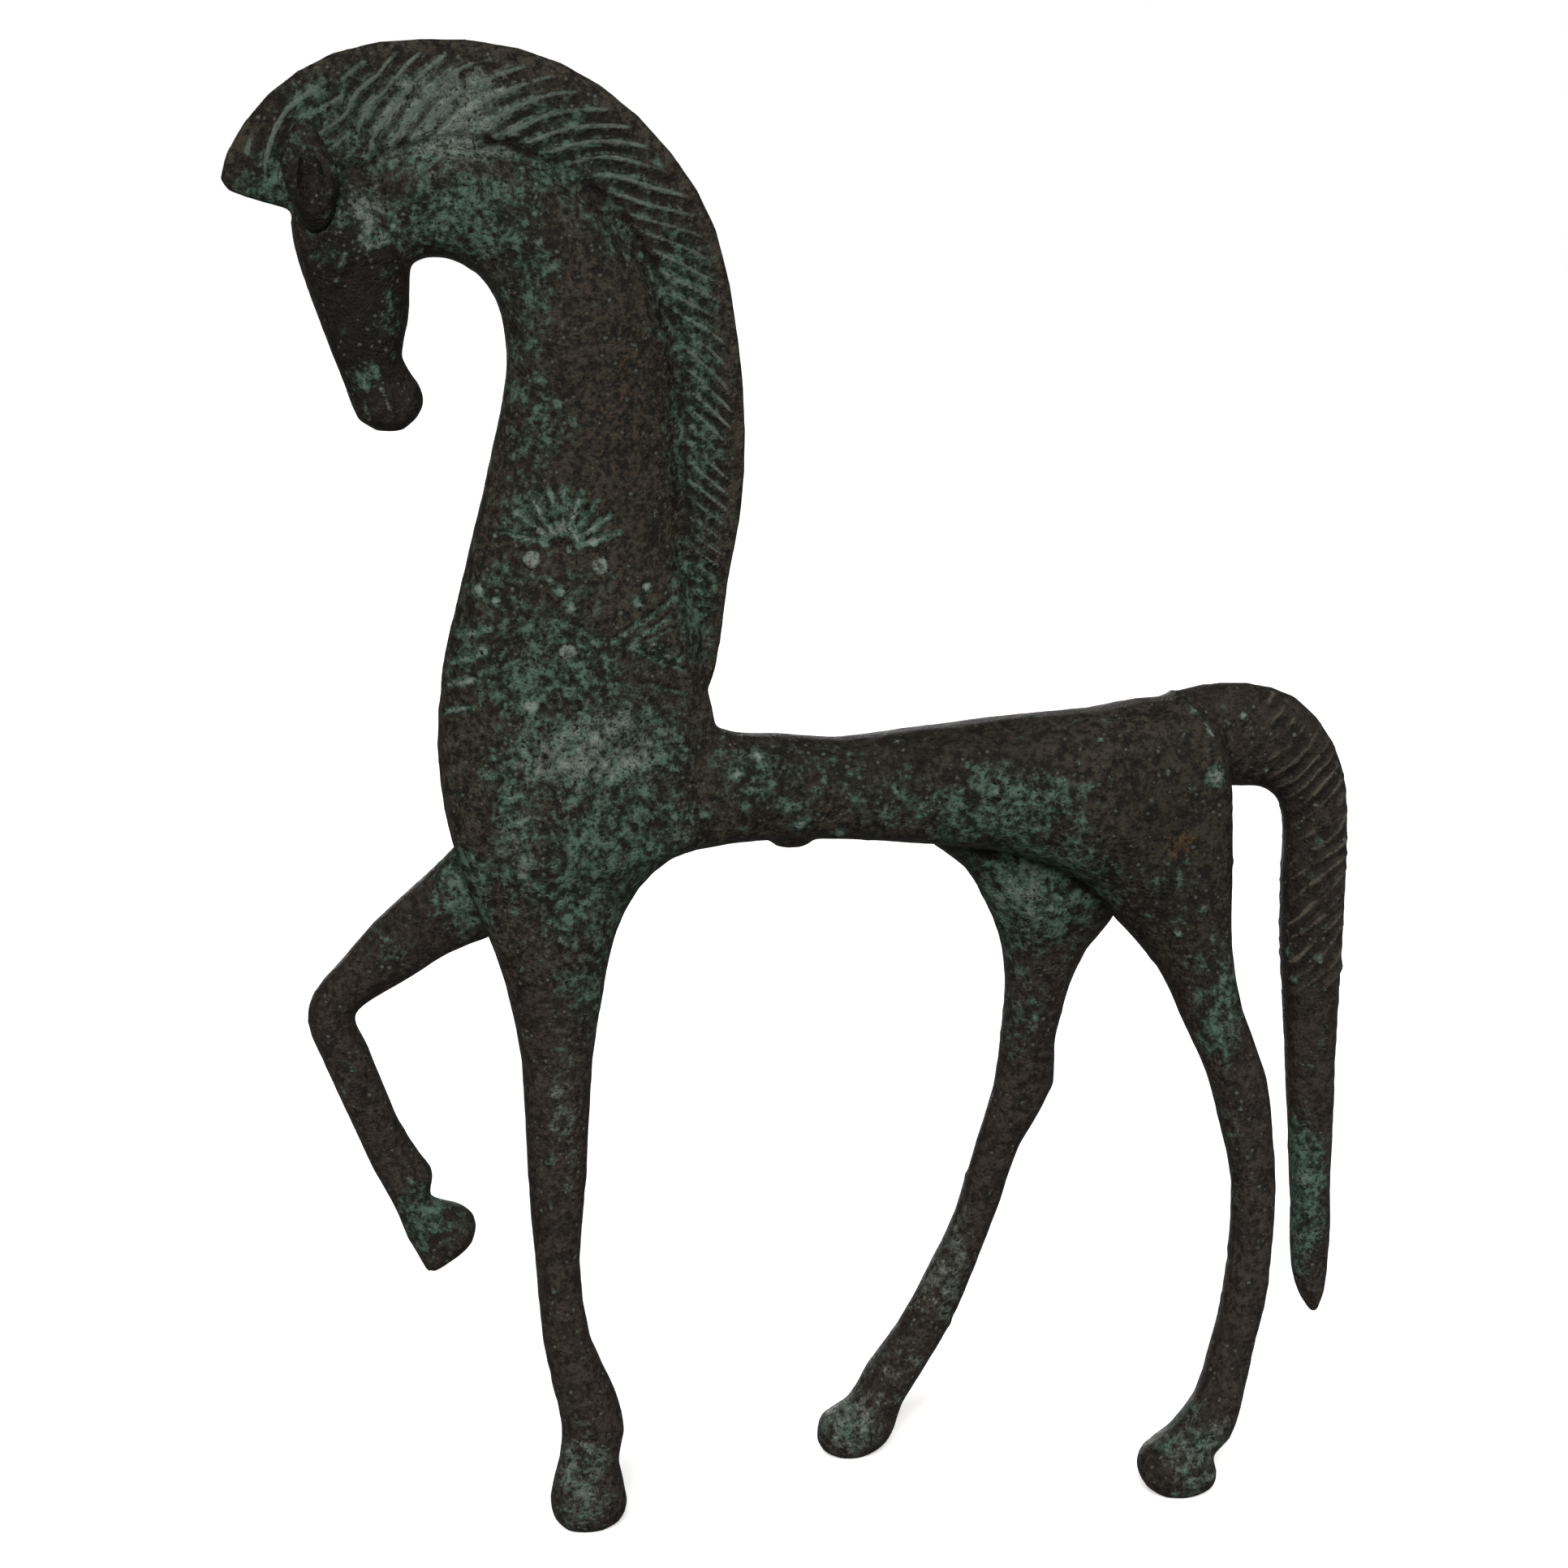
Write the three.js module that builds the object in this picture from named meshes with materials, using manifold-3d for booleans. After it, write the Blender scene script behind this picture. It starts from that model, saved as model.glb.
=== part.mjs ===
// A cast bronze horse in the manner of the early Greek bronzes: a small head bowed on a tall
// arched neck, a deep crest of mane, a slim barrel, long legs and one forefoot raised.
// It is drawn whole and then parted where a founder joins such a figure. Each limb ends in a
// round peg that fits a socket in the casting beside it.
// Millimetres, +Z up. The horse faces -X, and its left side is -Y.
import * as THREE from "three";
import { mergeVertices } from "three/addons/utils/BufferGeometryUtils.js";
import Module from "manifold-3d";

const wasm = await Module();
wasm.setup();

// Driving dimensions.
const FIT = 0.3; // clearance at every brazed joint
const OVAL = 2.3; // 2 makes a section an ellipse, and more makes it squarer
const AROUND = 16; // points round a limb's section
const BODY_AROUND = 24; // and round the deeper sections of the neck, chest, barrel and haunch
const RINGS = 2; // rings from one station to the next
const PEG_SIDES = 12;

const LEFT = -1;
const RIGHT = 1;

// Every limb is drawn as a line of stations: the two points of its outline in side view, the
// distance of its middle from the centre plane, and half its thickness.
// [inner x, inner z, outer x, outer z, side y, half thickness]

// Poll, arched neck, chest, then down the left foreleg to its sole.
const FRONT_LINE = [
  [-51.5, 169, -58, 178, 0, 3.5],
  [-51, 171.5, -52, 185, 0, 4.5],
  [-47, 172, -43.5, 186.5, 0, 5.5],
  [-43, 170, -33.5, 183, 0, 6],
  [-40.5, 166.5, -25, 176.5, 0, 6],
  [-39.5, 162, -19.5, 167, 0, 6.5],
  [-39.5, 157, -17.5, 156, 0, 6.5],
  [-42, 146.5, -17.5, 143, 0, 6.5],
  [-45.5, 134, -17.5, 130, 0, 7],
  [-48, 125.5, -15.5, 122, 0, 7.5],
  [-50, 117.5, -14.5, 114.5, 0, 7.5],
  [-51, 108, -13, 105, 0, 8],
  [-50.5, 99, -13, 94, -0.5, 8],
  [-49, 92.5, -20, 91.5, -1, 7.5],
  [-47.5, 87.5, -25, 87.5, -1, 6.5],
  [-45.5, 82, -28.5, 81.5, -1.5, 6],
  [-43.5, 75, -30.5, 74, -2, 5],
  [-42, 65, -32.5, 64.5, -2.5, 4],
  [-42, 50, -34, 49, -3, 3.5],
  [-41.5, 38, -35.5, 37.5, -3.5, 3],
  [-41, 27, -34.5, 26.5, -3.5, 3.5],
  [-40, 20, -31.5, 19, -4, 3.5],
  [-39, 14.5, -30.5, 13.5, -4, 3.5],
  [-39.5, 10, -31.5, 9.5, -4, 3.5],
  [-41, 4.5, -30.5, 3.5, -4, 4],
  [-40.5, 1.5, -31.5, 1, -4, 4],
  [-39, 0, -33.5, 0, -4, 3],
];

// Chest, barrel and haunch, then down the left hind leg to its sole.
const REAR_LINE = [
  [-19, 91.5, -17, 110, 0, 5.5],
  [-12, 92.5, -11, 107.5, 0, 6.5],
  [-5, 92.5, -5, 107, 0, 6.5],
  [3, 92, 3, 106, 0, 6.5],
  [11.5, 91, 12, 106.5, 0, 7],
  [19.5, 90, 20, 107, 0, 8],
  [28, 88, 28.5, 107.5, 0, 8.5],
  [36.5, 84, 39, 108, -1, 9],
  [41.5, 78, 49.5, 109, -1.5, 8.5],
  [44, 75, 56, 105.5, -2.5, 7.5],
  [46, 72, 57, 96.5, -4, 6.5],
  [47.5, 69, 56.5, 86, -5, 5.5],
  [49, 65, 56, 75.5, -6, 5],
  [50.5, 61, 57, 66, -7.5, 4.5],
  [52, 56.5, 60, 56.5, -8.5, 4],
  [53.5, 49, 60.5, 48.5, -9.5, 3.5],
  [54.5, 42, 60.5, 41.5, -10.5, 3],
  [53.5, 33, 59.5, 32.5, -11.5, 3],
  [52, 26, 58, 25.5, -12.5, 3],
  [50, 19.5, 56, 19, -13, 3],
  [47.5, 13.5, 54, 12, -14, 3.5],
  [43.5, 9.5, 52, 7.5, -14.5, 3.5],
  [40, 7, 49.5, 5, -14.5, 4],
  [39, 4.5, 50, 3, -14.5, 4.5],
  [40, 1.5, 49.5, 1, -14.5, 4],
  [42, 0, 47, 0, -14.5, 3],
];

const RIGHT_HIND_LEG = [
  [12, 95, 45.5, 101, 3, 4],
  [17, 89.5, 47, 91, 4.5, 4.5],
  [21.5, 86, 45.5, 82, 5.5, 5],
  [24.5, 81, 42.5, 76.5, 6.5, 5],
  [27, 75.5, 39.5, 72.5, 8, 4.5],
  [28, 69, 37, 67.5, 9, 4.5],
  [27.5, 60.5, 35, 59.5, 10, 4],
  [26.5, 53.5, 35, 53, 11, 3.5],
  [24, 45, 30, 44, 12, 3],
  [21, 35, 26.5, 34.5, 13, 3],
  [17, 27, 23.5, 26.5, 13.5, 3],
  [12, 18.5, 19.5, 18, 14, 3],
  [7.5, 12.5, 15.5, 11.5, 14.5, 3.5],
  [4.5, 8, 12.5, 7, 14.5, 3.5],
  [1, 6, 11.5, 4.5, 14.5, 4],
  [0, 3.5, 10.5, 2.5, 14.5, 4.5],
  [0.5, 1, 9, 1, 14.5, 4],
  [2.5, 0, 6.5, 0, 14.5, 3],
];

// Out of the chest, over the bent knee and down to the lifted hoof.
const RAISED_FORELEG = [
  [-43.5, 98.5, -37.5, 87, 2, 4],
  [-47.5, 95, -42, 82.5, 4, 4.5],
  [-51, 91.5, -46, 80.5, 5.5, 4.5],
  [-55, 88, -50, 79, 6.5, 4],
  [-60, 83.5, -55, 76, 7.5, 4],
  [-65, 78, -59.5, 73.5, 8.5, 3.5],
  [-68.5, 74, -62.5, 71.5, 9, 3.5],
  [-69.5, 70, -63, 70, 9.5, 3.5],
  [-68, 65.5, -61.5, 66.5, 9.5, 3.5],
  [-64, 55, -58, 56, 9.5, 3],
  [-61.5, 48.5, -55, 50.5, 9.5, 3],
  [-60, 45.5, -53.5, 48, 9.5, 3.5],
  [-58.5, 42, -54, 44.5, 9.5, 3],
  [-57.5, 39, -50, 43, 9.5, 3.5],
  [-56.5, 37, -48, 41, 9.5, 4],
  [-55.5, 35, -48.5, 38, 9.5, 4],
  [-55, 34, -52, 35.5, 9.5, 2.5],
];

const TAIL_LINE = [
  [49.5, 94.5, 49, 109, 0, 5],
  [55.5, 95.5, 54.5, 110, 0, 5],
  [61, 95.5, 61, 110, 0, 4.5],
  [63.5, 95, 68, 107.5, 0, 4.5],
  [65.5, 93, 73, 101.5, 0, 4.5],
  [66, 90.5, 75, 95, 0, 4],
  [66, 86.5, 75, 86.5, 0, 4],
  [65.5, 76, 74.5, 75.5, 0, 4],
  [66, 57, 73, 56, 0, 3.5],
  [66.5, 35, 72, 34.5, 0, 3],
  [66.5, 26, 71.5, 25.5, 0, 2.5],
  [67.5, 22, 71, 22, 0, 2],
  [69, 19.5, 70, 19.5, 0, 1],
];

// Poll to muzzle: the forehead side first, then the jaw side.
const HEAD_LINE = [
  [-61, 182.5, -57, 181.5, 0, 3.5],
  [-65, 180.5, -54, 178.5, 0, 4.5],
  [-66.5, 177.5, -52, 175, 0, 5.5],
  [-66, 173.5, -51.5, 172, 0, 5.5],
  [-65, 169.5, -51.5, 169, 0, 5],
  [-63.5, 164.5, -52, 164, 0, 4.5],
  [-62, 160, -53, 159.5, 0, 4],
  [-61, 157, -51.5, 156.5, 0, 3.5],
  [-60, 154, -50.5, 154, 0, 4],
  [-59, 151.5, -51.5, 151.5, 0, 3.5],
  [-56.5, 150, -53.5, 150, 0, 2],
];

// Forelock to withers: the edge against the neck first, then the outer rim.
const CREST_LINE = [
  [-74, 181.5, -75, 183, 0, 1.5],
  [-70, 180, -74, 186.5, 0, 1.5],
  [-63.5, 178, -68.5, 193.5, 0, 2],
  [-57, 178, -60, 198.5, 0, 2],
  [-48.5, 180, -48.5, 200, 0, 2],
  [-39.5, 180, -36, 198.5, 0, 2],
  [-31.5, 175, -25.5, 193.5, 0, 2],
  [-27, 168.5, -16.5, 184.5, 0, 2],
  [-23.5, 162, -11, 174.5, 0, 2],
  [-22, 153, -8.5, 160, 0, 2],
  [-21, 144, -8, 148, 0, 2],
  [-21, 135.5, -9, 137, 0, 2],
  [-20, 127.5, -11, 128.5, 0, 2],
  [-18, 120, -12.5, 120, 0, 2],
  [-16, 114.5, -14, 114.5, 0, 1.5],
];
const CREST_OVAL = 5; // the crest is a plate with rounded rims, not an oval

// Tip to root of the left ear. The right one is its mirror.
const EAR_LINE = [
  [-65, 190, -64, 190, -4.5, 1],
  [-66.5, 188, -63, 188.5, -4.5, 1.5],
  [-67.5, 185, -61.5, 185.5, -5, 2],
  [-67, 182, -60.5, 182.5, -5, 2.5],
  [-66, 179, -61, 179.5, -4.5, 2.5],
  [-64.5, 176, -61.5, 176.5, -3.5, 2],
];
const EAR_HOLLOW = { x: -64.1, y: -8.2, z: 182.3, across: 2.2, deep: 2.6, high: 5.2 };

const BELLY_BOSS = { x: -3.5, z: 93, long: 3.4, wide: 2.4, drop: 1.8 };

// The joints. Each is a flat cut: its middle, how far it leans (0 is level, 90 is upright and
// facing forwards), and its extent along the body and across it.
const JOINTS = {
  neck: { middle: [-32, 0, 114], lean: 0, long: 46, wide: 24 },
  head: { middle: [-54.5, 0, 176.5], lean: 62, long: 18, wide: 14 },
  foreleg_left: { middle: [-37, -2, 76], lean: 0, long: 20, wide: 20 },
  foreleg_right: { middle: [-48.8, 5.5, 87], lean: 71, long: 20, wide: 17 },
  hind_leg_left: { middle: [51, -5, 72], lean: 0, long: 20, wide: 20 },
  hind_leg_right: { middle: [33, 8, 74], lean: 0, long: 19, wide: 16 },
  tail: { middle: [53.8, 0, 102.8], lean: 62, long: 20, wide: 16 },
};

// The crest's joint runs along the nape, from the forehead to the withers. [x, z]
const CREST_JOINT = [
  [-69, 175],
  [-67, 180],
  [-62, 183.5],
  [-57, 184],
  [-52, 186],
  [-43.5, 187],
  [-33, 183.5],
  [-24.5, 177],
  [-19, 167],
  [-17, 156],
  [-17, 130],
  [-15, 122],
  [-10, 113],
];
const CREST_JOINT_STEPS = 48;
const CREST_JOINT_WIDE = 10;

// A point inside each casting.
const INSIDE = {
  trunk: [0, 0, 100],
  neck: [-30, 0, 140],
  head: [-58, 0, 165],
  mane_crest: [-48, 0, 194],
  foreleg_left: [-37, -3, 50],
  foreleg_right: [-61, 9.5, 55],
  hind_leg_left: [57, -9.5, 49],
  hind_leg_right: [31, 10, 60],
  tail: [70, 0, 60],
};

// The pegs: which casting has the socket, where the peg starts and ends, and its radius.
const PEGS = {
  neck: { socket: "trunk", from: [-32, 0, 117], to: [-32, 0, 104], radius: 4 },
  head: { socket: "neck", from: [-58, 0, 174.6], to: [-49, 0, 179.3], radius: 1.8 },
  foreleg_left: { socket: "trunk", from: [-36.8, -2, 73], to: [-36.4, -1.5, 86], radius: 2.6 },
  foreleg_right: { socket: "trunk", from: [-53, 6.5, 83.3], to: [-42, 3.2, 90.2], radius: 1.9 },
  hind_leg_left: { socket: "trunk", from: [51.4, -6, 69], to: [51, -4.2, 81], radius: 2.4 },
  hind_leg_right: { socket: "trunk", from: [33.4, 8.6, 71], to: [34.5, 6.4, 83], radius: 2.4 },
  tail: { socket: "trunk", from: [60, 0, 102.5], to: [46, 0, 102.5], radius: 2.6 },
  mane_crest: { socket: "neck", from: [-48, 0, 191], to: [-46.5, 0, 182], radius: 1.1 },
};

// A ring of points round each section, joined to the next ring, with a fan over each end.
function loft(stations, { grow = 0, power = OVAL, around = AROUND } = {}) {
  const rail = (x, z) => new THREE.CatmullRomCurve3(stations.map((s) => new THREE.Vector3(s[x], s[4], s[z])));
  const inner = rail(0, 1);
  const outer = rail(2, 3);
  const thickness = new THREE.CatmullRomCurve3(stations.map((s, i) => new THREE.Vector3(s[5], i, 0)));
  const last = (stations.length - 1) * RINGS;
  const points = [];
  const faces = [];
  const middleAt = (t) => inner.getPoint(t).add(outer.getPoint(t)).multiplyScalar(0.5);
  for (let ring = 0; ring <= last; ring++) {
    const t = ring / last;
    const middle = middleAt(t);
    const reach = outer.getPoint(t).sub(middle);
    reach.setLength(reach.length() + grow);
    const half = thickness.getPoint(t).x + grow;
    for (let i = 0; i < around; i++) {
      const angle = (2 * Math.PI * i) / around;
      const along = Math.sign(Math.cos(angle)) * Math.abs(Math.cos(angle)) ** (2 / power);
      const across = Math.sign(Math.sin(angle)) * Math.abs(Math.sin(angle)) ** (2 / power);
      points.push(middle.x + reach.x * along, middle.y + half * across, middle.z + reach.z * along);
    }
  }
  for (let ring = 0; ring < last; ring++) {
    for (let i = 0; i < around; i++) {
      const a = ring * around + i;
      const b = ring * around + ((i + 1) % around);
      faces.push(a, a + around, b, b, a + around, b + around);
    }
  }
  const startMiddle = points.length / 3;
  points.push(...middleAt(0).toArray(), ...middleAt(1).toArray());
  for (let i = 0; i < around; i++) {
    const next = (i + 1) % around;
    faces.push(startMiddle, i, next);
    faces.push(startMiddle + 1, last * around + next, last * around + i);
  }
  const geometry = new THREE.BufferGeometry();
  geometry.setAttribute("position", new THREE.Float32BufferAttribute(points, 3));
  geometry.setIndex(faces);
  return solid(geometry);
}

function solid(geometry) {
  const bare = new THREE.BufferGeometry();
  bare.setAttribute("position", geometry.getAttribute("position"));
  bare.setIndex(geometry.index);
  const merged = mergeVertices(bare, 1e-4);
  return new wasm.Manifold(
    new wasm.Mesh({
      numProp: 3,
      vertProperties: merged.getAttribute("position").array,
      triVerts: new Uint32Array(merged.index.array),
    }),
  );
}

function ellipsoid(x, y, z, rx, ry, rz) {
  return solid(new THREE.SphereGeometry(1, 20, 12).scale(rx, ry, rz).translate(x, y, z));
}

function peg({ from, to, radius }, grow = 0) {
  const start = new THREE.Vector3(...from);
  const way = new THREE.Vector3(...to).sub(start);
  const length = way.length() + grow;
  way.normalize();
  const turn = new THREE.Quaternion().setFromUnitVectors(new THREE.Vector3(0, 1, 0), way);
  const cylinder = new THREE.CylinderGeometry(radius + grow, radius + grow, length, PEG_SIDES);
  cylinder.translate(0, length / 2, 0).applyQuaternion(turn).translate(start.x, start.y, start.z);
  return solid(cylinder);
}

// A slab as thick as the clearance.
function flatCut({ middle, lean, long, wide }) {
  const slab = new THREE.BoxGeometry(long, wide, FIT);
  return solid(slab.rotateY(THREE.MathUtils.degToRad(lean)).translate(...middle));
}

// A band as thick as the clearance that follows the nape.
function crestCut() {
  const nape = new THREE.SplineCurve(CREST_JOINT.map(([x, z]) => new THREE.Vector2(x, z)));
  const side = (offset) =>
    Array.from({ length: CREST_JOINT_STEPS + 1 }, (_, step) => {
      const at = nape.getPoint(step / CREST_JOINT_STEPS);
      const way = nape.getTangent(step / CREST_JOINT_STEPS);
      return new THREE.Vector2(at.x - way.y * offset, at.y + way.x * offset);
    });
  const band = new THREE.Shape([...side(FIT / 2), ...side(-FIT / 2).reverse()]);
  const sheet = new THREE.ExtrudeGeometry(band, { depth: CREST_JOINT_WIDE, bevelEnabled: false });
  return solid(sheet.rotateX(Math.PI / 2).translate(0, CREST_JOINT_WIDE / 2, 0));
}

// The figure in one piece.
function wholeHorse() {
  const { x, z, long, wide, drop } = BELLY_BOSS;
  return [
    loft(REAR_LINE, { around: BODY_AROUND }),
    ellipsoid(x, 0, z, long, wide, drop),
    loft(RIGHT_HIND_LEG),
    loft(RAISED_FORELEG),
    loft(TAIL_LINE),
    loft(HEAD_LINE),
    loft(CREST_LINE, { power: CREST_OVAL }),
  ].reduce((horse, limb) => horse.add(limb), loft(FRONT_LINE, { around: BODY_AROUND }));
}

// The figure parted at its joints, as a casting for each name in INSIDE.
function castings() {
  const cuts = [...Object.values(JOINTS).map(flatCut), crestCut()];
  const parts = cuts.reduce((horse, cut) => horse.subtract(cut), wholeHorse()).decompose();
  const found = {};
  for (const [name, [x, y, z]] of Object.entries(INSIDE)) {
    const probe = ellipsoid(x, y, z, FIT, FIT, FIT);
    found[name] = parts.find((part) => !part.intersect(probe).isEmpty());
  }
  for (const [name, size] of Object.entries(PEGS)) {
    found[size.socket] = found[size.socket].subtract(peg(size, FIT));
    found[name] = found[name].add(peg(size));
  }
  return found;
}

// A leaf with a dished outer face, seated on the side of the poll.
function ear(side) {
  const { x, y, z, across, deep, high } = EAR_HOLLOW;
  const seat = loft(HEAD_LINE, { grow: FIT });
  const crest = loft(CREST_LINE, { grow: FIT, power: CREST_OVAL });
  const leaf = loft(EAR_LINE).subtract(ellipsoid(x, y, z, across, deep, high));
  const left = leaf.subtract(seat.add(crest)).decompose().sort((a, b) => b.volume() - a.volume())[0];
  return side === LEFT ? left : left.mirror([0, 1, 0]);
}

const bronze = (name, color, roughness) =>
  new THREE.MeshStandardMaterial({ name, color, roughness, metalness: 0.7 });
const darkBronze = bronze("dark_bronze", 0x2f2a25, 0.55);
const greenBronze = bronze("green_bronze", 0x3a4f47, 0.7);
const MOST_VERDIGRIS = ["trunk", "neck", "mane_crest"];

const figure = new THREE.Group();

function addMesh(name, body) {
  const { vertProperties, triVerts } = body.getMesh();
  const geometry = new THREE.BufferGeometry();
  geometry.setAttribute("position", new THREE.BufferAttribute(vertProperties, 3));
  geometry.setIndex(new THREE.BufferAttribute(triVerts, 1));
  geometry.computeVertexNormals();
  const mesh = new THREE.Mesh(geometry, MOST_VERDIGRIS.includes(name) ? greenBronze : darkBronze);
  mesh.name = name;
  figure.add(mesh);
}

Object.entries(castings()).forEach(([name, body]) => addMesh(name, body));
addMesh("ear_left", ear(LEFT));
addMesh("ear_right", ear(RIGHT));

// The origin is the middle of the figure's footprint, on the surface it stands on.
const box = new THREE.Box3().setFromObject(figure);
figure.position.set(-(box.min.x + box.max.x) / 2, -(box.min.y + box.max.y) / 2, -box.min.z);

const statuette = new THREE.Group();
statuette.add(figure);

export default statuette;
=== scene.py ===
# %% [markdown]
# # A cast bronze horse
#
# The object is a small solid casting in the manner of the early Greek bronzes. A founder first
# models such a figure in wax, then chases lines into the wax with small tools, casts it, and at
# last lets a green patina grow on the metal. This lesson follows the same order:
#
# 1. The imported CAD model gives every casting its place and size.
# 2. The castings are melted together into one fine skin, as if in wax.
# 3. The skin is softened, and the face, the mane, the tail and the punch marks are worked into it.
# 4. The skin is sawn apart again at the same joints as the CAD model, one piece for each node, and
#    the pieces get their pegs and sockets.
# 5. Each piece gets the patinated bronze that its place on the figure shows.

# %% Load the model
import math

import bmesh
import bpy
import numpy as np
from mathutils import Matrix, Vector, noise
from mathutils.kdtree import KDTree


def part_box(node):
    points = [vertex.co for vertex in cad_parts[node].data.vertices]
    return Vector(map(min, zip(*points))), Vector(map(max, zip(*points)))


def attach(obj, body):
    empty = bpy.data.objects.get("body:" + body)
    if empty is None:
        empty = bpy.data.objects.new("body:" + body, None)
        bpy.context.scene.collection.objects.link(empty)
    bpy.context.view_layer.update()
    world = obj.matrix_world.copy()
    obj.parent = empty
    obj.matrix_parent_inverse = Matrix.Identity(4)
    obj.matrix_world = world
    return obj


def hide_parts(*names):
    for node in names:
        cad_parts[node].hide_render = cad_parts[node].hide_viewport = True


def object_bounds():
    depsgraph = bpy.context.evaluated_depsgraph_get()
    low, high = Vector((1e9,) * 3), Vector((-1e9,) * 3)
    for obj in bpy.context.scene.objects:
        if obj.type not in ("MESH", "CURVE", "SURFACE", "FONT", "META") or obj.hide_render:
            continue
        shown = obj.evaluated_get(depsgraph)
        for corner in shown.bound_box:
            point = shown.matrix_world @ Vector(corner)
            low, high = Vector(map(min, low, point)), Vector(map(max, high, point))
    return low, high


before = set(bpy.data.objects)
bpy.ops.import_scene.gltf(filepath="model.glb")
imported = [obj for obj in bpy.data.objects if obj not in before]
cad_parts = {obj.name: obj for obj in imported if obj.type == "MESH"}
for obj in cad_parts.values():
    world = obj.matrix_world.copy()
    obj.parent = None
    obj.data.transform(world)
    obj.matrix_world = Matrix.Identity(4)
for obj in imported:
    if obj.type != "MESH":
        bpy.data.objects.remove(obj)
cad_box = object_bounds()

MM = 0.001
print("castings:", ", ".join(sorted(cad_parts)))

# %% [markdown]
# ## Camera
#
# The figure faces left, and the camera stands a little in front of it and a little above it. A
# lens of 85 mm at half a metre draws a statuette without stretching the parts that are nearest.
# The camera rolls by two degrees, which lets the figure lean forwards a little.

# %% Camera
CAMERA_TARGET = Vector((-4.5, 0, 100)) * MM
CAMERA_DISTANCE = 500 * MM
CAMERA_AZIMUTH = math.radians(-11)
CAMERA_ELEVATION = math.radians(9)
CAMERA_ROLL = math.radians(-2)
LENS, SENSOR = 85, 36  # mm
NEAR, FAR = 0.01, 50  # m


def add_object(name, data):
    obj = bpy.data.objects.new(name, data)
    bpy.context.scene.collection.objects.link(obj)
    return obj


def direction(azimuth, elevation):
    """The way from the figure to a viewer. Azimuth 0 stands on the -Y side."""
    flat = math.cos(elevation)
    return Vector((math.sin(azimuth) * flat, -math.cos(azimuth) * flat, math.sin(elevation)))


def add_camera():
    data = bpy.data.cameras.new("camera")
    data.lens = LENS
    data.sensor_width = SENSOR
    data.clip_start = NEAR
    data.clip_end = FAR
    camera = add_object("camera", data)
    back = direction(CAMERA_AZIMUTH, CAMERA_ELEVATION)
    look = (-back).to_track_quat("-Z", "Y").to_matrix().to_4x4()
    place = Matrix.Translation(CAMERA_TARGET + back * CAMERA_DISTANCE)
    camera.matrix_world = place @ look @ Matrix.Rotation(CAMERA_ROLL, 4, "Z")
    bpy.context.scene.camera = camera


add_camera()
print("camera at", [round(c / MM) for c in bpy.context.scene.camera.location], "mm")

# %% [markdown]
# ## Melting the castings into one skin
#
# The joints of the real figure are filled with brazing metal and filed flush, so the surface runs
# on across them. A voxel remesh does the same to a mesh: it wraps everything in one even net. The
# castings are swollen a little before, so that the clearance between them closes, and the net is
# much finer than the CAD model, because tool marks only a few tenths of a millimetre deep are to
# be worked into it. Pegs and sockets end up as closed bubbles inside, which are thrown away.

# %% One skin
NET = 0.42  # mm from one point of the skin to the next
SWELL = 0.22  # mm, more than half the clearance in the joints
SAME_POINT = 0.002  # mm; CAD points this near to each other are one
EARS = ("ear_left", "ear_right")


def closed_copy(node, swell):
    """A casting with its points merged and pushed outwards by swell mm."""
    bm = bmesh.new()
    bm.from_mesh(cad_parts[node].data)
    bmesh.ops.remove_doubles(bm, verts=bm.verts, dist=SAME_POINT * MM)
    bm.normal_update()
    moves = [vert.normal * swell * MM for vert in bm.verts]
    for vert, move in zip(bm.verts, moves):
        vert.co += move
    mesh = bpy.data.meshes.new(node + "_wax")
    bm.to_mesh(mesh)
    bm.free()
    return mesh


def joined(meshes):
    bm = bmesh.new()
    for mesh in meshes:
        bm.from_mesh(mesh)
        bpy.data.meshes.remove(mesh)
    together = bpy.data.meshes.new("wax")
    bm.to_mesh(together)
    bm.free()
    return together


def with_modifier(obj, kind, **settings):
    """Adds a modifier and bakes it into the object's mesh."""
    modifier = obj.modifiers.new(kind, kind)
    for name, value in settings.items():
        setattr(modifier, name, value)
    graph = bpy.context.evaluated_depsgraph_get()
    done = bpy.data.meshes.new_from_object(obj.evaluated_get(graph))
    obj.modifiers.clear()
    used = obj.data
    obj.data = done
    bpy.data.meshes.remove(used)
    return obj


def islands(bm):
    """The separate shells of a mesh, as lists of vertices, the largest first."""
    for vert in bm.verts:
        vert.tag = False
    shells = []
    for seed in bm.verts:
        if seed.tag:
            continue
        seed.tag = True
        shell = [seed]
        for vert in shell:
            for edge in vert.link_edges:
                other = edge.other_vert(vert)
                if not other.tag:
                    other.tag = True
                    shell.append(other)
        shells.append(shell)
    return sorted(shells, key=len, reverse=True)


def keep_largest_shell(mesh):
    bm = bmesh.new()
    bm.from_mesh(mesh)
    for shell in islands(bm)[1:]:
        bmesh.ops.delete(bm, geom=shell, context="VERTS")
    bm.to_mesh(mesh)
    bm.free()


def remeshed(name, nodes, net):
    obj = add_object(name, joined([closed_copy(node, SWELL) for node in nodes]))
    with_modifier(obj, "REMESH", mode="VOXEL", voxel_size=net * MM)
    keep_largest_shell(obj.data)
    return obj


skin = remeshed("skin", [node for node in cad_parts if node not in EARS], NET)
print("skin:", len(skin.data.vertices), "points")

# %% [markdown]
# ## Softening
#
# Wax has no corners, so the net is relaxed: each point moves towards the middle of its
# neighbours. Done alone this shrinks thin legs, so every inward step is followed by a slightly
# larger outward step, which gives the legs their girth back and still takes the facets away.

# %% Softening
RELAX_IN = 0.6
RELAX_OUT = -0.61
RELAX_ROUNDS = 40


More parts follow.
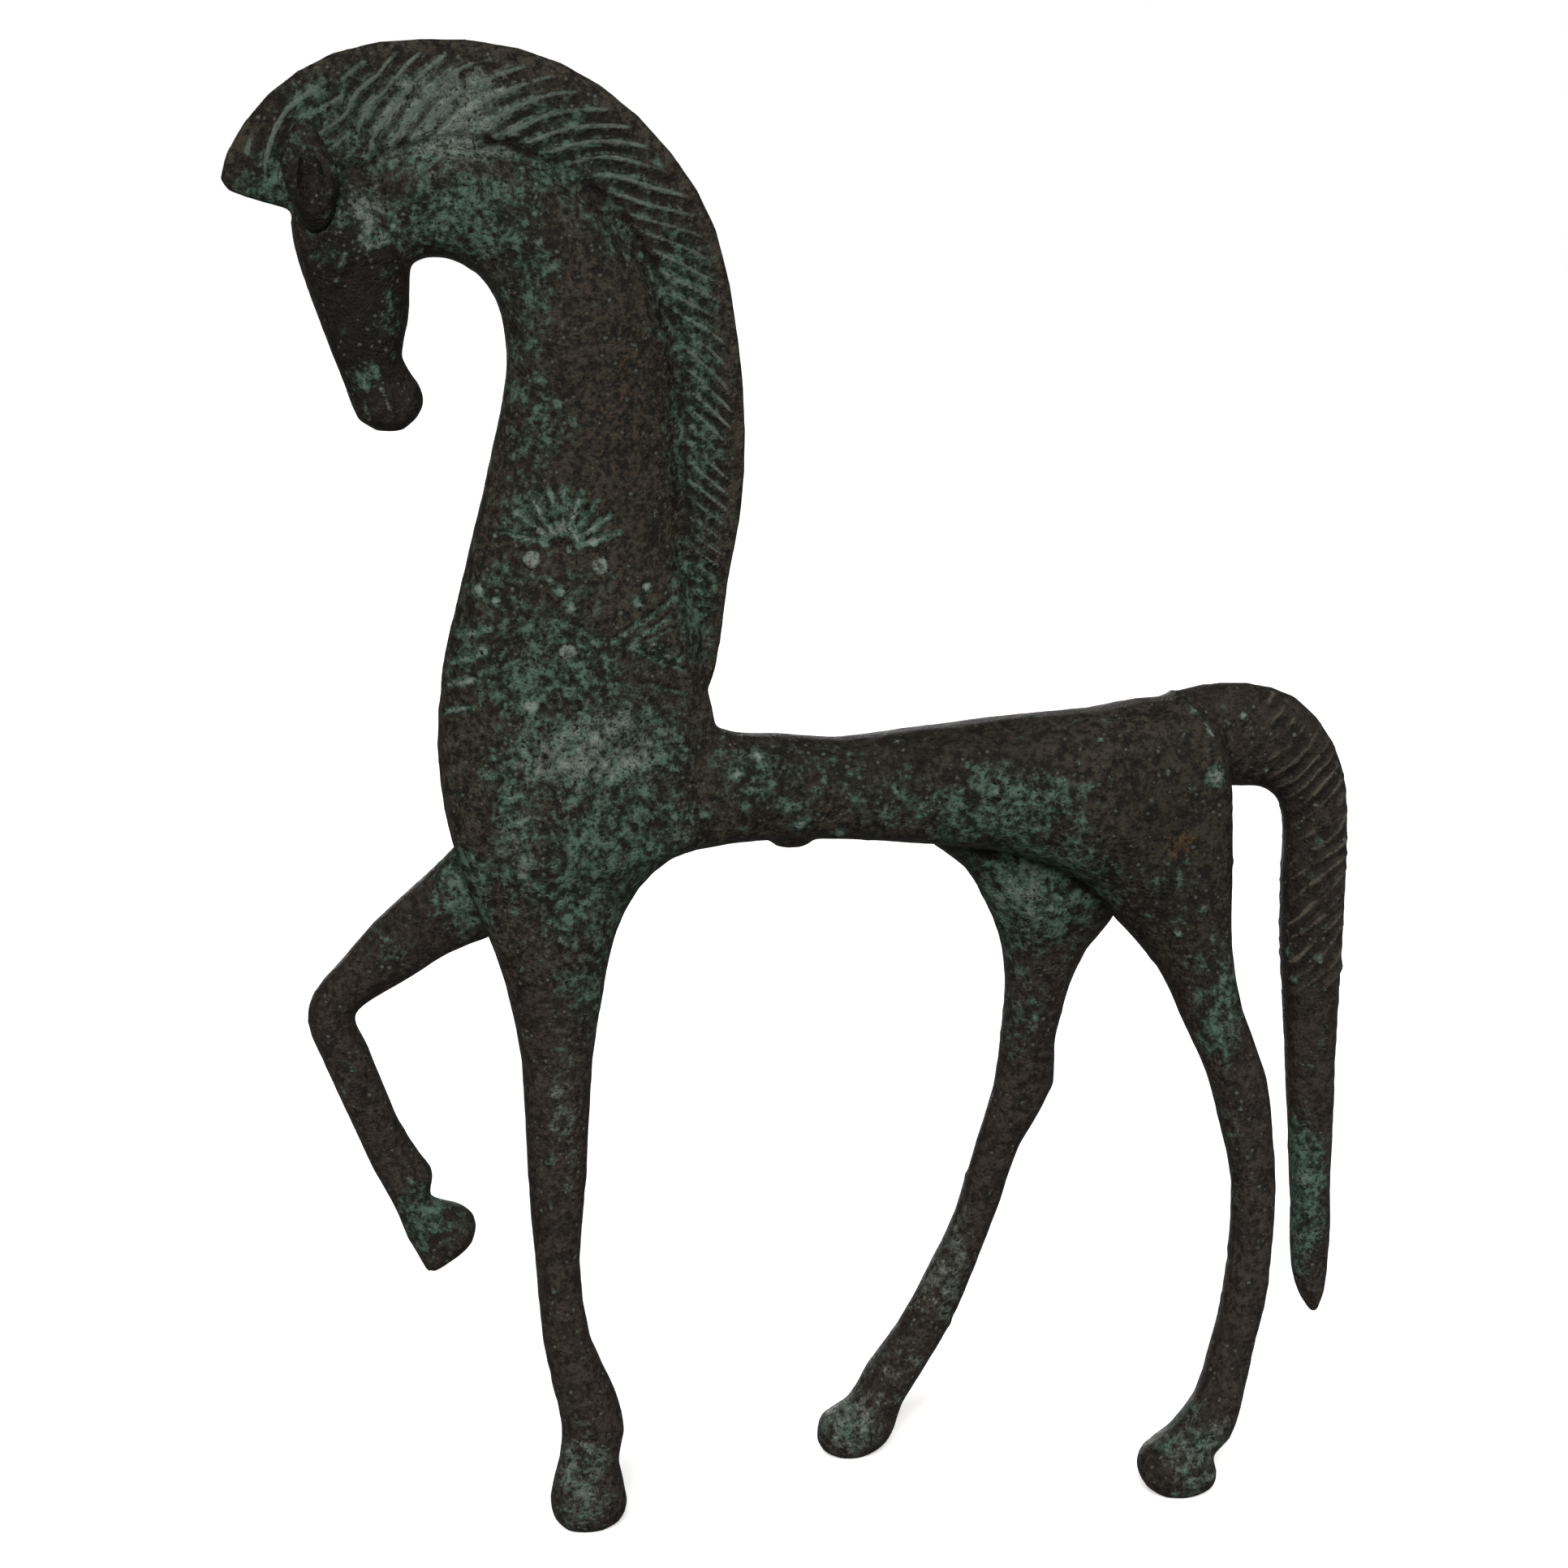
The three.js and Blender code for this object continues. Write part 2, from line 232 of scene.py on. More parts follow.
def get_points(mesh):
    """Vertex positions in mm."""
    points = np.empty(len(mesh.vertices) * 3, np.float32)
    mesh.vertices.foreach_get("co", points)
    return points.reshape(-1, 3).astype(float) / MM


def set_points(mesh, points):
    mesh.vertices.foreach_set("co", (points * MM).astype(np.float32).ravel())
    mesh.update()


def get_normals(mesh):
    normals = np.empty(len(mesh.vertices) * 3, np.float32)
    mesh.vertex_normals.foreach_get("vector", normals)
    return normals.reshape(-1, 3).astype(float)


def neighbour_mean(mesh):
    """A function that averages any vertex values over each vertex's neighbours."""
    ends = np.empty(len(mesh.edges) * 2, np.int32)
    mesh.edges.foreach_get("vertices", ends)
    first, second = ends.reshape(-1, 2).T
    total = len(mesh.vertices)
    count = np.bincount(first, minlength=total) + np.bincount(second, minlength=total)

    def mean(values):
        summed = []
        for column in values.reshape(total, -1).T:
            ahead = np.bincount(first, column[second], total)
            summed.append(ahead + np.bincount(second, column[first], total))
        return (np.array(summed) / count).T.reshape(values.shape)

    return mean


def relax(mesh, rounds):
    mean = neighbour_mean(mesh)
    points = get_points(mesh)
    for _ in range(rounds):
        for share in (RELAX_IN, RELAX_OUT):
            points += share * (mean(points) - points)
    set_points(mesh, points)


relax(skin.data, RELAX_ROUNDS)
wax = get_points(skin.data) - SWELL * get_normals(skin.data)
set_points(skin.data, wax)
print("softened box in mm:", wax.min(0).round(2), wax.max(0).round(2))

# %% [markdown]
# ## Measuring along the nape
#
# The crest is a plate that stands on the nape of the neck, and everything on it follows the nape:
# the locks of the mane, the smooth rim, and the joint where the crest is brazed on. So one curve
# along the nape is drawn first. Any point of the figure can then be given by how far along the
# nape it is, and how far out from it.

# %% The nape
NAPE = [  # [x, z] in mm, from the forehead over the poll to the withers
    [-69, 175],
    [-67, 180],
    [-62, 183.5],
    [-57, 184],
    [-52, 186],
    [-43.5, 187],
    [-33, 183.5],
    [-24.5, 177],
    [-19, 167],
    [-17, 156],
    [-17, 130],
    [-15, 122],
    [-10, 113],
]


def smooth_line(corners, steps):
    """A Catmull-Rom curve through the corners, with that many steps between each two."""
    corners = np.array(corners, float)
    padded = np.vstack([2 * corners[0] - corners[1], corners, 2 * corners[-1] - corners[-2]])
    t = np.linspace(0, 1, steps, endpoint=False)[:, None]
    line = []
    for a, b, c, d in zip(padded, padded[1:], padded[2:], padded[3:]):
        curve = 2 * b + (c - a) * t + (2 * a - 5 * b + 4 * c - d) * t**2 + (3 * b - a - 3 * c + d) * t**3
        line.append(curve / 2)
    return np.vstack(line + [corners[-1:]])


def along_and_out(places, line):
    """For each [x, z], how far along the line its nearest point is, and how far out it lies."""
    steps = np.diff(line, axis=0)
    lengths = np.hypot(*steps.T)
    travelled = np.concatenate([[0], np.cumsum(lengths)])
    tree = KDTree(len(line))
    for index, (x, z) in enumerate(line):
        tree.insert((x, z, 0), index)
    tree.balance()
    nearest = np.array([tree.find((x, z, 0))[1] for x, z in places])
    ahead = steps[np.minimum(nearest, len(steps) - 1)]
    ahead = ahead / np.hypot(*ahead.T)[:, None]
    away = places - line[nearest]
    along = travelled[nearest] + (away * ahead).sum(1)
    out = ahead[:, 0] * away[:, 1] - ahead[:, 1] * away[:, 0]
    return along, out


def ramp(values, low, high):
    """0 below low and 1 above high, easing between them."""
    share = np.clip((values - low) / (high - low), 0, 1)
    return share * share * (3 - 2 * share)


NAPE_LINE = smooth_line(NAPE, 24)
WITHERS = 114  # mm above the floor, where the crest ends
FORELOCK = 6  # mm along the nape, where the crest begins
CREST_REACH = 4  # mm to each side of the middle plane
places = wax[:, [0, 2]]
along, out = along_and_out(places, NAPE_LINE)
within = (along > FORELOCK) * (wax[:, 2] > WITHERS)
in_plane = ramp(-np.abs(wax[:, 1]), -CREST_REACH, -0.8 * CREST_REACH)
on_crest = within * ramp(out, 0, 1) * in_plane
print("nape:", round(np.hypot(*np.diff(NAPE_LINE, axis=0).T).sum()), "mm long")
print("crest stands", round(out[on_crest > 0.5].max(), 1), "mm out")

# %% [markdown]
# ## Tool marks
#
# A chasing tool pushes a line into the wax and raises the wax beside it. Each mark here is a
# depth that depends only on the distance to a line, a ring or a dot, and it moves every point of
# the skin along its normal. Two more values are kept for each point, and the finish reads them
# later: how much green patina and how much pale lime has settled there.

# %% Tool marks
side_on = ramp(np.abs(get_normals(skin.data)[:, 1]), 0.25, 0.6)  # 1 where the skin faces sideways
depth = np.zeros(len(wax))
green = np.zeros(len(wax))
pale = np.zeros(len(wax))


def bell(distance, reach):
    return np.exp(-((distance / reach) ** 2))


def from_point(middle):
    return np.hypot(places[:, 0] - middle[0], places[:, 1] - middle[1])


def from_segment(start, end):
    start, end = np.array(start, float), np.array(end, float)
    way = end - start
    share = np.clip((places - start) @ way / (way @ way), 0, 1)
    gap = places - (start + share[:, None] * way)
    return np.hypot(*gap.T)


def stroke(start, end, deep=0.24, reach=0.4, lime=0.9, verdigris=1.5):
    """A chased line: a groove with a low burr on each side, and lime left in it."""
    distance = from_segment(start, end)
    burr = 0.5 * bell(distance - 2.2 * reach, reach)
    depth[:] -= side_on * deep * (bell(distance, reach) - burr)
    green[:] = np.maximum(green, side_on * verdigris * bell(distance, 1.4 * reach))
    pale[:] = np.maximum(pale, side_on * lime * bell(distance, 1.2 * reach))


def ring(middle, radius=1.5, deep=0.26):
    """A ring punch: a round groove about a flat disc with a dot in its middle."""
    distance = from_point(middle)
    disc = ramp(-distance, -radius, -0.6 * radius)
    groove = bell(distance - radius - 0.1, 0.35)
    dot = 0.6 * bell(distance, 0.3)
    depth[:] += side_on * deep * (disc - groove - dot)
    pale[:] = np.maximum(pale, side_on * 1.1 * (disc - 0.2 * bell(distance, 0.35)))


def pellet(middle, radius=0.75, high=0.25):
    """A small bead of metal standing on the surface."""
    distance = from_point(middle)
    depth[:] += side_on * high * bell(distance, radius)
    green[:] = np.maximum(green, side_on * 1.4 * bell(distance, 1.2 * radius))
    pale[:] = np.maximum(pale, side_on * 1.2 * bell(distance, radius))


def rays(middle, start, end, angles):
    for angle in np.radians(angles):
        way = np.array([math.sin(angle), math.cos(angle)])
        stroke(middle + start * way, middle + end * way, deep=0.3, reach=0.36)


# %% Chasing the neck, the barrel and the chest
rays(np.array([-34, 134]), 2.2, 7.6, [-72, -50, -30, -10, 4, 20, 38, 58, 78])
for place in ([-38.2, 132.8], [-29.3, 131.5], [-34.1, 120.5]):
    ring(place)
for place in ([-34.7, 128.5], [-33.4, 126.3], [-45, 129], [-43, 127.5], [-23.2, 128.4], [-24.5, 126.2]):
    pellet(place)
for place in ([-9, 104.7], [-12, 102.7], [2, 93.4], [-3.5, 95.2], [-31, 109], [-39, 113.5]):
    pellet(place, radius=0.9, high=0.22)
for apex, upper, lower in (
    ([-28, 121.5], [-19.6, 126.4], [-18.6, 116.8]),
    ([-25.8, 121.2], [-19.8, 124.3], [-19.4, 118.4]),
    ([-23.6, 121.1], [-20.2, 122.4], [-20, 119.8]),
):
    stroke(apex, upper, deep=0.3, lime=0.7, verdigris=0.8)
    stroke(apex, lower, deep=0.3, lime=0.7, verdigris=0.8)
stroke([-24.5, 115.6], [-18.6, 113.8], lime=0.5, verdigris=0.7)
for start, end in (
    ([59, 103.4], [61.8, 107.6]),
    ([57, 103.6], [59.2, 106.8]),
    ([61.6, 104], [63.4, 106.6]),
):
    stroke(start, end, deep=0.2, reach=0.3, lime=0.5, verdigris=0.2)
for start, end in (
    ([-50.2, 116.4], [-46.4, 117.3]),
    ([-48.6, 119.6], [-44.6, 120.9]),
    ([-47.6, 123], [-44, 124]),
    ([-50.4, 113], [-47, 113.6]),
):
    stroke(start, end)
print("chased lines reach", round(-depth.min(), 2), "mm deep")

# %% [markdown]
# ## The mane and the tail
#
# The locks of the mane are long parallel ridges, swept backwards by about fifty degrees from the
# way the crest stands. They start at the nape, and die out before a smooth rim. Because they
# follow the nape, their phase is the distance along it, less the sweep. A slow noise makes them
# waver, since every one was drawn by hand. The tail is hatched in the same way, in short strokes
# that rise to the back.

# %% Mane and tail
LOCK_PITCH = 2.1  # mm from ridge to ridge at the poll
LOCK_PITCH_LOW = 1.7  # and at the withers
POLL_END, NAPE_END = 55, 120  # mm along the nape
LOCK_SWEEP = math.tan(math.radians(50))
LOCK_HEIGHT = 0.65  # mm from the bottom of a groove to the top of a ridge
LOCK_WAVER = 0.22  # how far a lock strays, as a share of the pitch
RIM = 2.2  # mm of smooth edge outside the locks
HATCH_PITCH = 2.0
HATCH_SLOPE = math.tan(math.radians(40))
HATCH_HEIGHT = 0.34
HATCH_WAVER = 0.3
RIM_STEP = 2  # mm along the nape between measurements of the rim
NOISE_GAIN = 1.6  # brings Blender's noise up to nearly -1 to 1


def waver(points, size, seed):
    """A slow noise from -1 to 1, for each point, with waves about size mm long."""
    shift = Vector((seed * 17.3, seed * 5.1, seed * 9.7))
    return NOISE_GAIN * np.array([noise.noise(Vector(point) / size + shift) for point in points])


def ridges(phase, sharp):
    """1 on whole numbers and 0 half way between. A larger sharp makes a thinner ridge."""
    return (0.5 + 0.5 * np.cos(2 * math.pi * phase)) ** sharp


def crest_depth(along, out):
    """How far out the rim stands at each place along the nape."""
    bins = np.clip((along / RIM_STEP).astype(int), 0, None)
    rims = np.zeros(bins.max() + 1)
    np.maximum.at(rims, bins, np.where(on_crest > 0.2, out, 0))
    centres = RIM_STEP * (np.arange(len(rims)) + 0.5)
    return np.interp(along, centres[rims > 0], rims[rims > 0])


to_rim = crest_depth(along, out) - out
pitch = np.interp(along, [POLL_END, NAPE_END], [LOCK_PITCH, LOCK_PITCH_LOW])
pitch_along = pitch * math.hypot(1, LOCK_SWEEP)
lock_phase = (along - LOCK_SWEEP * out) / pitch_along + LOCK_WAVER * waver(wax, 9, 1)
locks = ridges(lock_phase, 1.8)
lock_area = on_crest * side_on * ramp(out, 0.2, 1.4) * ramp(to_rim, 0.4 * RIM, 1.4 * RIM)
lock_strength = lock_area * (0.8 + 0.35 * waver(wax, 6, 2))
depth += lock_strength * LOCK_HEIGHT * (locks - 0.5)
raised = 1.8 * lock_strength * (locks - 0.4)

# %% The step at the nape, and the tail
NAPE_STEP = 0.3  # mm that the neck stands proud of the crest
on_nape = side_on * (wax[:, 2] > WITHERS) * ramp(along, 16, 24) * (0.8 + 0.5 * waver(wax, 5, 10))
depth -= on_nape * NAPE_STEP * bell(out - 0.5, 0.7)
depth += on_nape * 0.5 * NAPE_STEP * bell(out + 1.4, 1.6)
raised -= on_nape * 0.7 * bell(out - 0.4, 0.7)

TAIL_HATCH_END = 58  # mm above the floor, where the strokes die out
on_tail = side_on * ramp(wax[:, 0], 61.5, 63.5) * ramp(wax[:, 2], TAIL_HATCH_END, TAIL_HATCH_END + 14)
hatch_phase = (wax[:, 2] - HATCH_SLOPE * wax[:, 0]) / (HATCH_PITCH * math.hypot(1, HATCH_SLOPE))
hatch = ridges(hatch_phase + HATCH_WAVER * waver(wax, 5, 3), 1.4)
hatch_strength = on_tail * np.clip(0.8 + 0.5 * waver(wax, 4, 4), 0, 1)
depth += hatch_strength * HATCH_HEIGHT * (hatch - 0.5)
raised += 1.5 * hatch_strength * (hatch - 0.45)
print("locks and hatching:", round(np.ptp(depth[on_crest > 0.5]), 2), "mm high")

# %% [markdown]
# ## Forming the crest
#
# Seen from above, the crest isn't a slab. It is thickest along the nape and thins towards a
# rounded rim, so its sides turn away from the light near the edge. Here the skin is drawn in
# towards the middle plane by a share that grows towards the rim.

# %% Crest form
THIN_AT_RIM = 0.38
THICK_AT_NAPE = 0.35


def form_crest(points):
    thinner = 1 - THIN_AT_RIM * ramp(-to_rim, -6, 0) + THICK_AT_NAPE * ramp(-out, -5, 0)
    shaped = points.copy()
    shaped[:, 1] *= 1 + on_crest * (thinner - 1)
    return shaped


formed = form_crest(wax)

# %% [markdown]
# ## The face
#
# The head is a bowed wedge, 32 mm long. It has a rounded cheek, a long jaw ridge, an almond eye
# under a brow line, and two short cuts for the nostril and the mouth. All are low: about half a
# millimetre at most, so they only show as soft light and shade.

# %% Face
def almond(middle, long, wide, lean):
    """0 in the middle of an almond shape and 1 on its outline."""
    turn = math.radians(lean)
    x, z = (places - np.array(middle)).T
    lengthwise = x * math.cos(turn) + z * math.sin(turn)
    across = z * math.cos(turn) - x * math.sin(turn)
    return np.hypot(lengthwise / long, across / wide)


HEAD_STARTS, HEAD_TOP = 50, 186  # mm in front of the middle, and above the floor
on_head = side_on * ramp(-wax[:, 0], HEAD_STARTS, HEAD_STARTS + 3) * (wax[:, 2] < HEAD_TOP)
before = depth.copy()

cheek = from_point([-57.2, 173.8])
brow = from_segment([-63.8, 175.2], [-59.8, 176])
hollow = from_segment([-61.5, 168], [-59, 159])  # down the side of the nose
jaw = from_segment([-54.2, 172], [-54.6, 161])
chin_groove = from_point([-53.6, 155])
eye = almond([-61.4, 172.4], 1.9, 1.0, -60)
depth += on_head * (0.55 * bell(cheek, 3.0) + 0.3 * bell(brow, 0.9) + 0.22 * bell(jaw, 1.1))
depth -= on_head * (0.2 * bell(hollow, 1.4) + 0.3 * bell(chin_groove, 1.2))
depth += on_head * (0.22 * bell(eye, 0.8) - 0.2 * bell(eye - 1.3, 0.3))

NOSTRIL_AND_MOUTH = (([-58.7, 154], [-57.9, 151.9]), ([-56, 154.8], [-55.3, 152.6]))
CORNER_OF_EYE = (([-62.4, 174.2], [-61.1, 171.6]), ([-60, 173.6], [-60.9, 171.4]))
for start, end in NOSTRIL_AND_MOUTH:
    stroke(start, end, deep=0.22, reach=0.3, lime=0.8, verdigris=0.3)
for start, end in CORNER_OF_EYE:
    stroke(start, end, deep=0.15, reach=0.35, lime=0.75, verdigris=0.4)
print("the face changes the skin by up to", round(np.abs(depth - before).max(), 2), "mm")

# %% [markdown]
# ## Joints and the skin of the casting
#
# The tail is brazed on, and a crusty bead of filler stands along its joint. Everywhere else the
# skin of the casting shows: low lumps where the wax was pressed by hand, a finer grain from the
# clay of the mould, and small pits and beads where gas was caught against it. Noise gives the lumps
# and the grain, and one blemish sits in some of the cells of a Voronoi pattern.

# %% Tail joint and haunch
TAIL_JOINT = np.array([53.8, 102.8])
TAIL_LEAN = math.radians(62)

to_tail_joint = (places - TAIL_JOINT) @ np.array([math.sin(TAIL_LEAN), math.cos(TAIL_LEAN)])
near_tail = ramp(wax[:, 0], 46, 49) * ramp(wax[:, 2], 99, 103)
bead = near_tail * bell(to_tail_joint + 0.5 * waver(wax, 4, 5), 0.55)
depth += bead * (0.25 + 0.15 * waver(wax, 2, 6))
crusty = bead * np.clip(0.6 + 0.8 * waver(wax, 1.5, 11), 0, 1.2)
pale += 0.9 * crusty
green += 0.7 * crusty
depth += side_on * 0.5 * bell(from_point([53.2, 103.2]), 0.8)  # a drop of filler
knob = side_on * bell(from_point([53.2, 98.6]), 1.4)  # a larger drop, under the tail
depth += 0.45 * knob
green += 1.7 * knob
pale += 1.1 * knob
dent = side_on * bell(from_point([48.4, 89.3]), 1.8)  # a shallow dent in the haunch
depth -= 0.4 * dent
raised -= 0.5 * dent
blowhole = side_on * bell(from_point([45.7, 82.4]), 0.9)
depth -= 0.4 * blowhole
raised -= 1.2 * blowhole
print("filler stands", round((0.25 * bead + 0.45 * knob).max(), 2), "mm high")

# %% Casting skin
LUMP_SIZE, LUMP_HEIGHT = 8.0, 0.16
GRAIN_SIZE, GRAIN_HEIGHT = 1.5, 0.07
PIT_SPACING, PIT_RADIUS, PIT_DEPTH = 2.7, 0.55, 0.25
CELL_SHUFFLE = 31.7  # makes the number picked for a cell unlike its neighbour's
BEAD_ABOVE, PIT_BELOW = 0.45, -0.1  # the picked number runs from -1 to 1


def blemishes(points):
    """Towards 1 in a bead of metal, towards -1 in a pit, and 0 elsewhere. Some cells have neither."""
    found = np.empty(len(points))
    for index, point in enumerate(points):
        distances, centres = noise.voronoi(Vector(point) / PIT_SPACING)
        picked = noise.cell(centres[0] * CELL_SHUFFLE)
        kind = (picked > BEAD_ABOVE) - (picked < PIT_BELOW)
        radius = PIT_RADIUS * (0.5 + abs(picked))
        found[index] = kind * math.exp(-((distances[0] * PIT_SPACING / radius) ** 2))
    return found


blemished = blemishes(wax) * (1 - 0.7 * on_crest)
rough = 0.35 + 0.65 * side_on  # the narrow edges of the figure were handled more, and are smoother
depth += rough * LUMP_HEIGHT * waver(wax, LUMP_SIZE, 7) * (1 - 0.6 * on_crest)
depth += rough * GRAIN_HEIGHT * waver(wax, GRAIN_SIZE, 8)
depth += rough * PIT_DEPTH * blemished
raised += np.minimum(blemished, 0)
green += 0.9 * np.maximum(blemished, 0)
pale += 0.9 * np.maximum(blemished, 0)
set_points(skin.data, formed + depth[:, None] * get_normals(skin.data))
relax(skin.data, 1)
worked = get_points(skin.data)
worked[:, 2] = np.maximum(worked[:, 2], 0)  # the soles are filed flat
set_points(skin.data, worked)
print("pits cover", round(100 * (blemished < -0.3).mean(), 1), "% of the skin")

# %% [markdown]
# ## Where the patina grew
# The black on the haunch, the rump, the tail and the top of the back is partly painted shade.
# The pale on the cheek and below the ear is partly a painted highlight.
#
# Green patina needs damp and rest, so it is thick on the chest, on the nape side of the crest and
# under the loins, and the places that hands reach are rubbed back to brown metal: the rump, the
# back of the neck and the shins. Each patch here is a soft oval, given by its middle, its reach and
# how much green and how much pale lime it holds. More ovals say where the oxide is ochre or black.
# The finish breaks them all up into flecks. The marks of the tools keep what had settled in them.

# %% Patina map
marked_green, marked_lime = green.copy(), pale.copy()
PATCHES = [  # [x, z] in mm, [reach along x, reach along z], green, lime
    ([-46, 190], [13, 8], 0.6, 1.0),  # crest above the ear
    ([-60, 190], [9, 8], 0.65, 0.4),
    ([-69, 181], [5, 6], 0.75, 0.3),
    ([-31, 186], [10, 8], 0.6, 0.4),
    ([-23, 176], [7, 9], 0.7, 0.2),
    ([-16, 150], [5, 20], 0.75, 0.25),  # crest behind the neck
    ([-17, 165], [5, 12], 0.8, 0.2),
    ([-16, 126], [4, 8], 0.7, 0.15),
    ([-44, 177], [11, 6], 0.75, 0.45),  # neck under the poll
    ([-37, 170], [5, 8], 0.55, 0.2),
    ([-37, 154], [5, 13], 0.5, 0.1),  # throat
    ([-37, 139], [7, 6], 0.55, 0.1),
    ([-41, 129], [5, 7], 0.5, 0.1),
    ([-34, 126], [10, 6], 0.4, 0.1),
    ([-36, 119], [15, 10], 0.62, 0.25),  # chest
    ([-32, 107], [14, 8], 0.75, 0.8),
    ([-42, 96], [4, 12], 0.6, 0.65),
    ([-29, 92], [14, 12], 0.7, 0.4),
    ([-32, 74], [6, 8], 0.6, 0.3),
    ([-8, 101], [12, 6], 0.45, 0.25),  # barrel
    ([10, 98], [8, 5], 0.5, 0.1),
    ([25, 96], [13, 6], 0.8, 0.4),
    ([34, 89], [7, 6], 0.7, 0.55),
    ([46, 84], [6, 6], 0.35, 0.1),
    ([53, 67], [4, 9], 0.65, 0.3),  # haunch
    ([61, 100], [6, 7], 0.25, 0.2),
    ([-63, 181], [5, 7], 0.7, 0.45),  # forehead
    ([-56.6, 174.8], [2.6, 1.5], 0.9, 0.85),  # cheek: pale patina and a painted highlight
    # pale patina and a painted highlight, from the ear down to the cheekbone
    ([-57.2, 178.5], [3, 4.5], 0.3, 0.85),
    ([-62, 172.5], [3, 3.5], 0.6, 0.4),  # brow
    ([-54.6, 166], [1.6, 8], 0.45, 0.2),  # jaw
    ([-58, 156.8], [2, 2], 0.8, 0.5),  # muzzle
    ([-48.5, 88], [4, 7], 0.75, 0.6),  # root of the raised leg
    ([-57, 82], [7, 5], 0.35, 0.15),
    ([-55, 42], [5, 5], 0.8, 0.45),  # raised hoof
    ([28, 82], [11, 9], 0.9, 0.65),  # root of the far hind leg
    ([29, 66], [5, 8], 0.5, 0.5),
    ([12, 12], [10, 8], 0.35, 0.55),
    ([18, 28], [6, 12], 0.35, 0.7),
    ([3, 6], [6, 6], 0.55, 0.8),  # right hind hoof
    ([-37, 59], [3, 12], 0.35, 0.65),  # standing foreleg
    ([-37, 8], [5, 8], 0.5, 0.75),  # and its hoof
    ([47, 6], [7, 7], 0.5, 0.75),  # left hind hoof
    ([54, 44], [4, 12], 0.35, 0.15),
    ([66.5, 37], [4, 13], 0.9, 0.5),  # lower tail
]
RUBBED = [  # [x, z], [reach along x, reach along z], how bare
    ([-24.5, 153], [6.5, 20], 0.7),  # back of the neck
    ([-24, 122], [4, 6], 0.25),
    ([46, 98], [12, 11], 0.8),  # rump
    ([66, 78], [5, 22], 0.5),  # upper tail
]


# %% Green and lime
def oval(middle, reach):
    """1 in the middle of an oval, and a half at about its reach."""
    far = (places - np.array(middle)) / np.array(reach)
    return np.exp(-0.7 * (far**2).sum(1) ** 1.5)


for middle, reach, more_green, more_lime in PATCHES:
    here = oval(middle, reach)
    green = np.maximum(green, more_green * here)
    pale = np.maximum(pale, more_lime * here)
for middle, reach, bare in RUBBED:
    here = oval(middle, reach)
    green *= 1 - bare * here
    pale *= 1 - bare * here

print("most green:", round(green.max(), 2), "and most lime:", round(pale.max(), 2))

# %% Ochre and black
RUSTY = [  # [x, z], [reach along x, reach along z], how ochre
    ([48.2, 89.5], [2.8, 2.4], 0.72),  # dent in the haunch
    ([-26, 152], [6, 20], 0.45),  # back of the neck
    ([-30, 168], [5, 6], 0.4),
    ([54, 103], [4, 6], 0.4),
]
BLACK_OXIDE_AND_SHADE_OVALS = [  # [x, z], [reach along x, reach along z], how black
    ([-58, 165], [10, 16], 0.9),  # head
    ([48, 88], [12, 18], 0.6),  # haunch and rump: black oxide, and painted shade where they face up
    ([66, 84], [6, 30], 0.6),  # tail: black oxide and painted shade
    ([-25, 154], [8, 22], 0.35),  # back of the neck
    ([8, 105], [30, 5], 0.6),  # top of the back: black oxide and painted shade
]
rust = np.zeros(len(wax))
for middle, reach, ochre in RUSTY:
    rust = np.maximum(rust, ochre * oval(middle, reach))
black_oxide_and_shade = np.zeros(len(wax))
for middle, reach, black in BLACK_OXIDE_AND_SHADE_OVALS:
    black_oxide_and_shade = np.maximum(black_oxide_and_shade, black * oval(middle, reach))

# %% The worn rim, and the values kept
rim_bare = on_crest * ramp(-to_rim, -RIM, -0.6 * RIM) * ramp(along, 8, 16)
green = np.maximum(green * (1 - 0.75 * rim_bare), marked_green)
pale = np.maximum(pale * (1 - 0.9 * rim_bare), marked_lime)
raised = np.clip(raised, -1, 1)
settled = {"green": green, "lime": pale, "black_oxide_and_shade": black_oxide_and_shade, "rust": rust, "raised": raised}
print("skin with green on it:", round(100 * (green > 0.4).mean()), "%")

# %% [markdown]
# ## Sawing the skin into its castings
#
# The real figure is several castings, held by pegs in sockets. The skin is therefore sawn with a
# very thin blade at the joints of the CAD model, all of them flat but the curved one under the
# crest, and then pegs are put on and sockets sunk.

# %% Saw cuts
KERF = 0.002  # mm; too thin to be seen, even edge on
CREST_BLADE = 10  # mm wide
JOINTS = {  # middle [x, y, z], lean about Y in degrees, blade length and width, in mm
    "neck": ([-32, 0, 114], 0, 46, 24),
    "head": ([-54.5, 0, 176.5], 62, 18, 14),
    "foreleg_left": ([-37, -2, 76], 0, 20, 20),
    "foreleg_right": ([-48.8, 5.5, 87], 71, 20, 17),
    "hind_leg_left": ([51, -5, 72], 0, 20, 20),
    "hind_leg_right": ([33, 8, 74], 0, 19, 16),
    "tail": ([53.8, 0, 102.8], 62, 20, 20),
}


def mesh_from(name, points, faces):
    """A mesh from points in mm, with its faces turned outwards."""
    mesh = bpy.data.meshes.new(name)
    mesh.from_pydata([Vector(point) * MM for point in points], [], faces)
    bm = bmesh.new()
    bm.from_mesh(mesh)
    bmesh.ops.recalc_face_normals(bm, faces=bm.faces)
    bm.to_mesh(mesh)
    bm.free()
    return mesh


